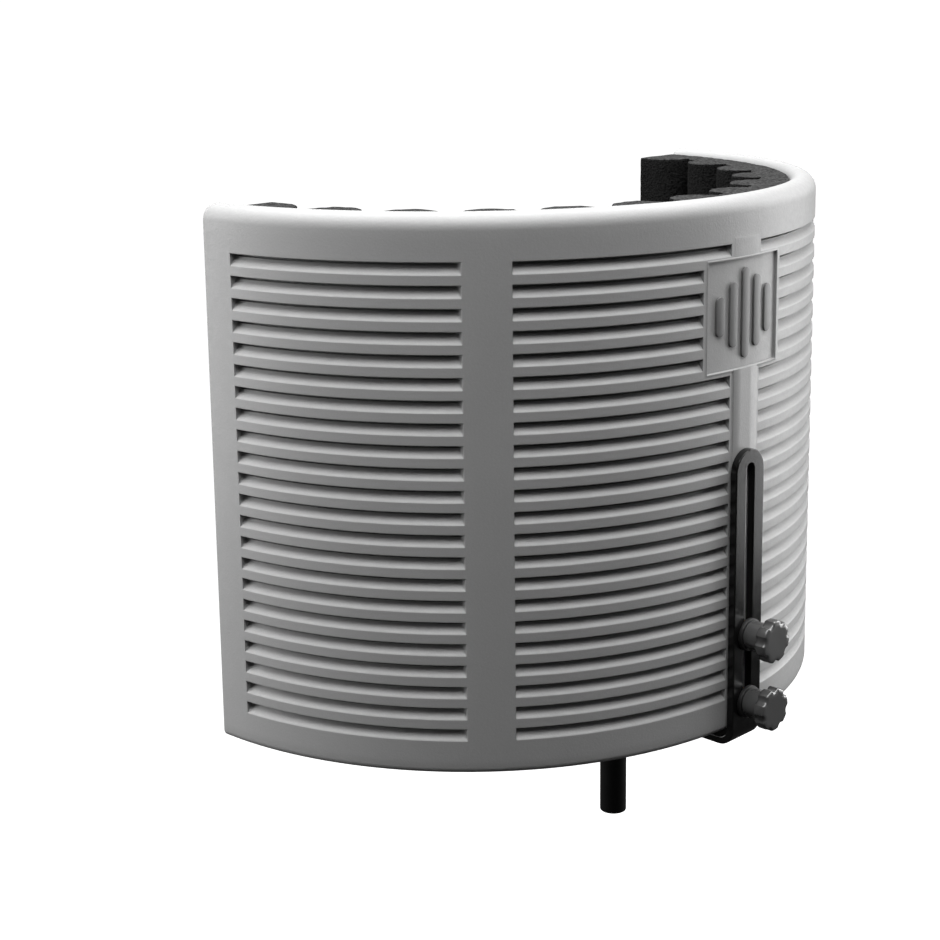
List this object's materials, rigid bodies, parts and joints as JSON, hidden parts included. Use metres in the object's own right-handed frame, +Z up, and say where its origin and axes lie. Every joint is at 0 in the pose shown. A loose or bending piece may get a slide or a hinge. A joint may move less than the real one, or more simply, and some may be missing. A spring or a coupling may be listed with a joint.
{
  "type": "microphone isolation shield",
  "caption": "Curved foam-lined acoustic shield with a ribbed shell on a slotted angle bracket, set with two knobs, that clamps to a short microphone stand post.",
  "frame": {"origin": "centre of the mouth of the stand socket at the foot of the post", "axes": "+Z up along the post; the closed convex back faces -Y and the open side faces +Y; +X is to the right of someone who looks at the back"},
  "size_m": [0.4198, 0.2308, 0.3844],
  "materials": {
    "shell_plastic": "matte",
    "foam": "matte",
    "wool": "matte",
    "spacer_foam": "matte",
    "emblem_grey": "satin",
    "black_steel": "satin",
    "knob_grey": "satin",
    "black_plastic": "satin",
    "black_nylon": "satin",
    "zinc_steel": "satin",
    "brass": "satin"
  },
  "bodies": {
    "stand": {"stand_post": "black_steel", "stand_thread_insert": "brass", "post_stud": "zinc_steel", "friction_washer": "black_nylon", "mic_thread_adapter": "brass"},
    "carriage": {"arm_guide": "black_nylon", "clamp_washer": "zinc_steel"},
    "lock_nut": {"lock_nut_grip": "black_plastic", "lock_nut_bush": "brass"},
    "bracket": {"bracket_plate": "black_steel"},
    "shield": {"outer_shell": "shell_plastic", "foam_liner": "foam", "wool_absorber": "wool", "gap_spacers": "spacer_foam", "mounting_plate": "zinc_steel", "plate_screws": "zinc_steel", "threaded_insert_upper": "brass", "threaded_insert_lower": "brass", "emblem_bars": "emblem_grey"},
    "knob_upper": {"knob_grip_upper": "knob_grey", "knob_stud_upper": "zinc_steel", "knob_washer_upper": "black_nylon"},
    "knob_lower": {"knob_grip_lower": "knob_grey", "knob_stud_lower": "zinc_steel", "knob_washer_lower": "black_nylon"}
  },
  "joints": [
    {"name": "pan_swivel", "type": "hinge", "parent": "stand", "child": "carriage", "pos_m": [0, 0, 0.072], "axis": [0, 0, 1], "continuous": true},
    {"name": "arm_slide", "type": "slide", "parent": "carriage", "child": "bracket", "axis": [0, 1, 0], "range_m": [-0.029, 0.025]},
    {"name": "height_slide", "type": "slide", "parent": "bracket", "child": "shield", "axis": [0, 0, 1], "range_m": [0, 0.094]},
    {"name": "knob_upper_turn", "type": "hinge", "parent": "shield", "child": "knob_upper", "pos_m": [0, -0.11, 0.1373], "axis": [0, -1, 0], "range_deg": [0, 540]},
    {"name": "knob_lower_turn", "type": "hinge", "parent": "shield", "child": "knob_lower", "pos_m": [0, -0.11, 0.0973], "axis": [0, -1, 0], "range_deg": [0, 540]},
    {"name": "lock_nut_turn", "type": "hinge", "parent": "stand", "child": "lock_nut", "pos_m": [0, 0, 0.085], "axis": [0, 0, 1], "range_deg": [0, 540]}
  ]
}
